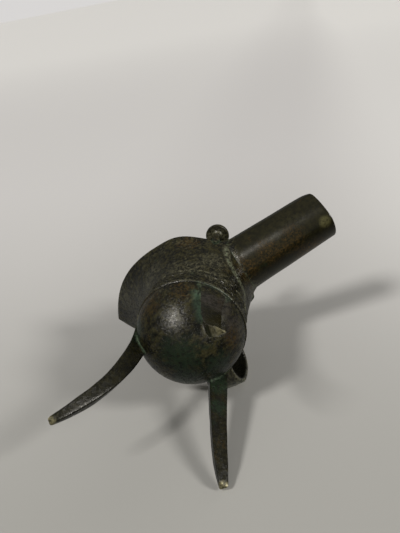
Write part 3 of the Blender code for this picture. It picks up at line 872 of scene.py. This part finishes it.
def bronzeFinish():
    material, start = newFinish("oldBronze")
    centre = [middleX * mm, middleY * mm, body["cordHeight"] * mm]
    onCup = start.add("TexCoord", output=3)
    fromCentre = start.add("VectorMath", {"operation": "SUBTRACT"}, {0: onCup, 1: centre})
    spot = start.add("VectorMath", {"operation": "SCALE"}, {0: fromCentre, "Scale": 1 / mm})
    away, beside, rise = (start.add("SeparateXYZ", None, {0: spot}, axis) for axis in (0, 1, 2))

    def cloud(name):
        scale, detail, rough, shift = clouds[name]
        aside = (shift, 0.7 * shift, 1.3 * shift)
        moved = start.add("VectorMath", {"operation": "ADD"}, {0: spot, 1: aside})
        look = {"Vector": moved, "Scale": scale, "Detail": detail, "Roughness": rough}
        return start.add("TexNoise", None, look)

    def field(name):
        return start.add("Attribute", {"attribute_name": name}, output=2)

    broad, blotch, mottle = cloud("broad"), cloud("blotch"), cloud("mottle")
    fine, speck = cloud("fine"), cloud("speck")
    join, crease, seam = field("joinDistance"), field("creaseDistance"), field("seamDistance")
    raised, keen = field("raised"), field("keen")
    ragged = (blotch - 0.5) * 1.3 + (mottle - 0.5) * 1.1
    wander = mottle - 0.5
    grainy = 0.45 * mottle + 0.55 * fine
    grit = 0.3 * mottle + 0.7 * cloud("grit")

    def near(kind):  # 1 at the middle of any of its places
        wildness, *places = marks[kind]
        share = None
        for middle, reach in places:
            gap = start.add("VectorMath", {"operation": "DISTANCE"}, {0: spot, 1: middle}, 1)
            one = (gap / reach + ragged * wildness).ramp(*grains["place"])
            share = one if share is None else share.most(one)
        return share

    def coat(under, name, where, texture):  # a colour where it belongs, broken up by the grain
        paint, begins, full, strength = coats[name]
        return under.blend(patina[paint], where * texture.ramp(begins, full) * strength)

    fromAxis = start.maths("SQRT", beside * beside + away * away)
    fromMiddle = start.add("VectorMath", {"operation": "LENGTH"}, {0: spot}, 1)
    fromCord = start.maths("ABSOLUTE", rise)
    onSpout = away.ramp(*zones["spout"])  # the spout and the legs are smoother than the rest
    onLegs = fromMiddle.ramp(*zones["legsOut"]) * rise.ramp(*zones["legsDown"])
    quiet = onSpout.most(onLegs)
    lowDown = rise.ramp(*zones["lowDown"])
    # painted shadow: inside the handle's loop, the strap and the wall behind it are painted near-black
    # where the strap shades them
    strapOut = (fromAxis - body["cordRadius"]).most(0.0) / handle["out"]
    strapArm = start.maths("ABSOLUTE", rise - handle["middleRise"]) / handle["halfHeight"]
    curl = sum(start.maths("POWER", share, handle["squareness"]) for share in (strapOut, strapArm))
    strapPaintedShade = curl.ramp(*grains["strap"]) * beside.ramp(*zones["strapOut"])
    strapPaintedShade = strapPaintedShade * start.maths("ABSOLUTE", away).ramp(*zones["strapSide"])

    shade = (0.25 * blotch + 0.35 * mottle + 0.4 * grit).ramp(*grains["shade"])
    shade = shade * (1 - 0.75 * quiet) + onSpout * (0.10 + 0.30 * grit) + onLegs * (0.5 * grit - 0.13)
    colour = shade.between(patina["dark"], patina["olive"])
    ashen = near("ash").most(broad.ramp(*grains["ash"]) * 0.5) * (1 - 0.85 * quiet) * (1 - 0.75 * lowDown)
    colour = coat(colour, "ash", ashen, grainy)
    # partly the bronze's own lilac-grey, partly painted sheen of reflected light
    colour = coat(colour, "lilacSheen", near("lilacSheen"), grainy)
    warmth = near("warm").most(cloud("warm").ramp(*grains["warm"]) * 0.6)
    colour = coat(colour, "warm", warmth, grit)
    colour = coat(colour, "rust", warmth, grit)
    flecks = cloud("flecks").ramp(*grains["flecks"]) * (0.3 + 0.7 * broad.ramp(*grains["fleckField"]))
    flecks = flecks * (1 - onSpout - 0.3 * onLegs) * (1 - 0.6 * lowDown)
    colour = colour.blend(patina["ash"], flecks * strengths["flecks"])
    damp = near("damp").most(cloud("damp").ramp(*grains["damp"]) * 0.7)
    colour = coat(colour, "damp", damp, grainy)

    stripe = near("stripe") * (join + wander * 4).ramp(*zones["stripe"])  # green in the joins
    joined = (join + ragged * 1.6).ramp(*zones["join"]) * (0.25 + 0.75 * near("joins")).most(stripe)
    line = (crease + wander * 3).ramp(*zones["crease"]) * (0.5 * fine + 0.5 * blotch).ramp(*grains["line"])
    green = stripe.most(joined).most(line * 0.2)
    colour = coat(colour, "green", green, grit)
    crusted = (joined * 0.9).most(line * 0.3) * grit.ramp(*grains["crusted"])
    crusted = crusted.most(stripe * (join + 0.8 * (fine - 0.5)).ramp(*zones["stripeEdge"]))
    colour = colour.blend(patina["crust"], crusted * strengths["crusted"])
    colour = coat(colour, "ochre", near("ochre"), grainy)

    groove = fromCord.ramp(*zones["grooveStart"]) * (fromCord + wander).ramp(*zones["grooveEnd"])
    groove = raised.ramp(*zones["sunk"]).most(groove)
    colour = colour.blend(patina["grimeAndShade"], groove * strengths["grooves"])
    colour = coat(colour, "caps", near("caps"), grainy)
    oldSeam = seam + wander * 4 + (fine - 0.5) * 3
    colour = coat(colour, "seamGrime", oldSeam.ramp(*zones["seamGrime"]), grit)
    colour = coat(colour, "seamAsh", oldSeam.ramp(*zones["seamAsh"]), 0.5 * grit + 0.5 * fine)
    colour = coat(colour, "seamCrust", oldSeam.ramp(*zones["seamCrust"]), grit)
    colour = coat(colour, "highPlaces", raised.ramp(*zones["high"]) * rise.ramp(*zones["highFrom"]), grit)
    worn = keen.ramp(*grains["keenEdge"]) * grainy.ramp(*grains["worn"])
    worn = worn.most(fromCord.ramp(*zones["cordBack"]) * (1 - onLegs) * grit.ramp(*grains["wornCord"]))
    colour = colour.blend(patina["ash"], worn * strengths["worn"])
    # painted shadow inside the handle's loop
    colour = colour.blend(patina["grimeAndShade"], strapPaintedShade * strengths["strap"])
    bare = near("toes").most(near("cord") * fromCord.ramp(*zones["cordGold"]))
    colour = coat(colour, "gold", bare, grit)
    pitted = (cloud("pits") * 0.75 + speck * 0.25).ramp(*grains["pits"])
    colour = colour.blend(patina["grimeAndShade"], pitted * (strengths["pits"] - 0.45 * onSpout))

    roughness = patina["roughness"] - patina["spoutPolish"] * onSpout + 0.25 * wander * (1 - 0.7 * onSpout)
    roughness = roughness + 0.12 * (fine - 0.5) * (1 - onSpout)
    roughness = roughness + 0.25 * green + 0.15 * pitted * (1 - 0.8 * onSpout)
    relief = (0.20 * mottle + 0.20 * grit) * (1 - 0.955 * onSpout - 0.4 * onLegs) + 0.05 * crusted
    relief = relief + (0.02 * speck - 0.03 * pitted) * (1 - 0.97 * onSpout)
    bumped = start.add("Bump", None, {"Strength": patina["bump"], "Distance": mm, "Height": relief})
    bronze = start.add("BsdfPrincipled", None, {
        "Base Color": colour, "Roughness": roughness, "Metallic": patina["bareMetal"] * bare,
        "Normal": bumped, "IOR": patina["shine"]})
    start.add("OutputMaterial", None, {"Surface": bronze})
    return material


studio = {  # paints and light as linear colours, reach in metres
    # wallNear, wallFar and wallLit are painted light: the backdrop's tone falls off and brightens as if lit
    "floorPaint": (0.350, 0.355, 0.365, 1), "wallNear": (0.318, 0.322, 0.320, 1),
    "wallFar": (0.484, 0.486, 0.512, 1), "wallLit": (0.620, 0.628, 0.652, 1),
    "matt": 0.8, "gloss": 0.2, "reach": 40.0, "wallFacing": (-0.399, 0.917, 0.012),
    "sky": (0.685, 0.670, 0.660, 1), "softSide": (-0.45, 0.77, -0.45), "softSpread": (-0.35, 0.95),
    "softBright": (0.258, 0.250, 0.224, 1), "softDim": (0.040, 0.039, 0.035, 1),
    "farSide": (0.5, -0.62, 0.6), "farSpread": (0.0, 0.8), "farBright": (0.175, 0.172, 0.160, 1),
    "lampColour": (1.0, 0.955, 0.87),
}
wallLight = {  # metres up and across the wall where its painted light changes
    "climb": (-0.204, 0.68), "side": (0.0, -0.16), "sideUp": (0.0, 0.42), "top": (1.0, 3.5),
    "otherSide": (0.05, 0.25), "otherUp": (-0.1, 0.4), "otherShare": 0.35, "strength": 0.65,
}
lights = {  # way towards it, strength, width in degrees, shine
    "keyLeft": ((0.04, 0.835, -0.55), 2.15, 12.0, True),
    "keyRight": ((-0.91, 0.15, -0.38), 2.3, 12.0, True),
    "overhead": ((-0.5, 0.3, 0.81), 0.4, 40.0, False),
    "fill": ((0.5, -0.72, 0.48), 7.5, 30.0, False),
}
view = {  # degrees, and mm from the middle of the cord
    "turn": 141.6, "height": -63.19, "roll": 19.6, "distance": 404.95, "right": 5.4, "up": 39.3,
    "lens": 43.9, "sensor": 36.0, "clip": (0.01, 200.0),
}


def paintedLightWall(start):  # painted light: paler higher up and on the spout's side, with pools of light painted on the backdrop
    spot = start.add("TexCoord", output=3)
    across, up = (start.add("SeparateXYZ", None, {0: spot}, axis) for axis in (0, 2))
    colour = up.ramp(*wallLight["climb"]).between(studio["wallNear"], studio["wallFar"])
    lit = across.ramp(*wallLight["side"]) * up.ramp(*wallLight["sideUp"]) + up.ramp(*wallLight["top"])
    other = across.ramp(*wallLight["otherSide"]) * up.ramp(*wallLight["otherUp"])
    lit = lit + wallLight["otherShare"] * other
    return colour.blend(studio["wallLit"], (lit * wallLight["strength"]).least(1.0))


def sheetFinish(name, paint):  # paint on the front, nothing from behind
    material, start = newFinish(name)
    # the backdrop's colour is painted light
    colour = paintedLightWall(start) if paint is None else paint
    coated = start.add("BsdfPrincipled", None, {
        "Base Color": colour, "Roughness": studio["matt"], "Specular IOR Level": studio["gloss"]})
    behind = start.add("NewGeometry", output=6)
    shown = start.add("MixShader", None, {0: behind, 1: coated, 2: start.add("BsdfTransparent")})
    start.add("OutputMaterial", None, {"Surface": shown})
    return material


def stageSheet(name, finish, origin, across, upwards):
    half = studio["reach"]
    mesh = bpy.data.meshes.new(name)
    ends = ((-half, -half), (half, -half), (half, half), (-half, half))
    corners = [origin + across * u + upwards * v for u, v in ends]
    mesh.from_pydata(corners, [], [(0, 1, 2, 3)])
    mesh.materials.append(finish)
    sheet = bpy.data.objects.new(name, mesh)
    bpy.context.scene.collection.objects.link(sheet)
    for unseen in ("diffuse", "glossy", "transmission", "volume_scatter", "shadow"):
        setattr(sheet, "visible_" + unseen, False)  # only the camera sees it


def stageSheets():  # one under the feet, one leaning on the cup's side
    east, north, zenith = Vector((1, 0, 0)), Vector((0, 1, 0)), Vector((0, 0, 1))
    stageSheet("studioFloor", sheetFinish("floorPaint", studio["floorPaint"]), Vector(), east, north)
    facing = Vector(studio["wallFacing"]).normalized()
    touch = min(float(spot @ np.array(facing)) for spot in vertexPlaces(cup.data))
    wall = sheetFinish("backdropPaintedLight", None)
    stageSheet("studioBackdrop", wall, facing * touch, zenith.cross(facing), zenith)


def studioAir():  # soft light from two sides, an even tone to the camera
    world = bpy.data.worlds.new("studioAir")
    bpy.context.scene.world = world
    world.use_nodes = True
    world.node_tree.nodes.clear()
    air = Wire(world.node_tree, None)

    def towards(side, spread):
        aim = {0: air.add("TexCoord"), 1: Vector(studio[side]).normalized()}
        return air.add("VectorMath", {"operation": "DOT_PRODUCT"}, aim, 1).ramp(*studio[spread])

    soft = towards("softSide", "softSpread").between(studio["softDim"], studio["softBright"])
    soft = soft.blend(studio["farBright"], towards("farSide", "farSpread"))
    tone = soft.blend(studio["sky"], air.add("LightPath"))
    air.add("OutputWorld", None, {"Surface": air.add("Background", None, {"Color": tone})})


def hangLamp(name, direction, strength, width, shines):
    lamp = bpy.data.lights.new(name, "SUN")
    lamp.energy, lamp.angle, lamp.color = strength, math.radians(width), studio["lampColour"]
    holder = bpy.data.objects.new(name, lamp)
    holder.rotation_mode = "QUATERNION"
    holder.rotation_quaternion = Vector(direction).to_track_quat("Z", "Y")
    holder.visible_glossy = shines
    bpy.context.scene.collection.objects.link(holder)


def standCamera():
    turn, height, roll = (math.radians(view[key]) for key in ("turn", "height", "roll"))
    back = Vector((math.cos(height) * math.cos(turn), math.cos(height) * math.sin(turn), math.sin(height)))
    level = Vector((0, 0, 1)).cross(back).normalized()
    upright = back.cross(level)
    right = level * math.cos(roll) + upright * math.sin(roll)
    up = upright * math.cos(roll) - level * math.sin(roll)
    stand = place(0, 0, 0) + (back * view["distance"] + right * view["right"] + up * view["up"]) * mm
    camera = bpy.data.objects.new("viewer", bpy.data.cameras.new("viewer"))
    camera.data.lens, camera.data.sensor_width = view["lens"], view["sensor"]
    camera.data.clip_start, camera.data.clip_end = view["clip"]
    camera.matrix_world = Matrix.Translation(stand) @ Matrix((right, up, back)).transposed().to_4x4()
    bpy.context.scene.collection.objects.link(camera)
    bpy.context.scene.camera = camera


cup.data.materials.clear()
cup.data.materials.append(bronzeFinish())
print("bronze finished")
stageSheets()
studioAir()
for name, lamp in lights.items():
    hangLamp(name, *lamp)
standCamera()
bpy.context.scene.view_settings.view_transform = "Standard"
print("studio set")

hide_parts("jue_cup")
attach(cup, "root")
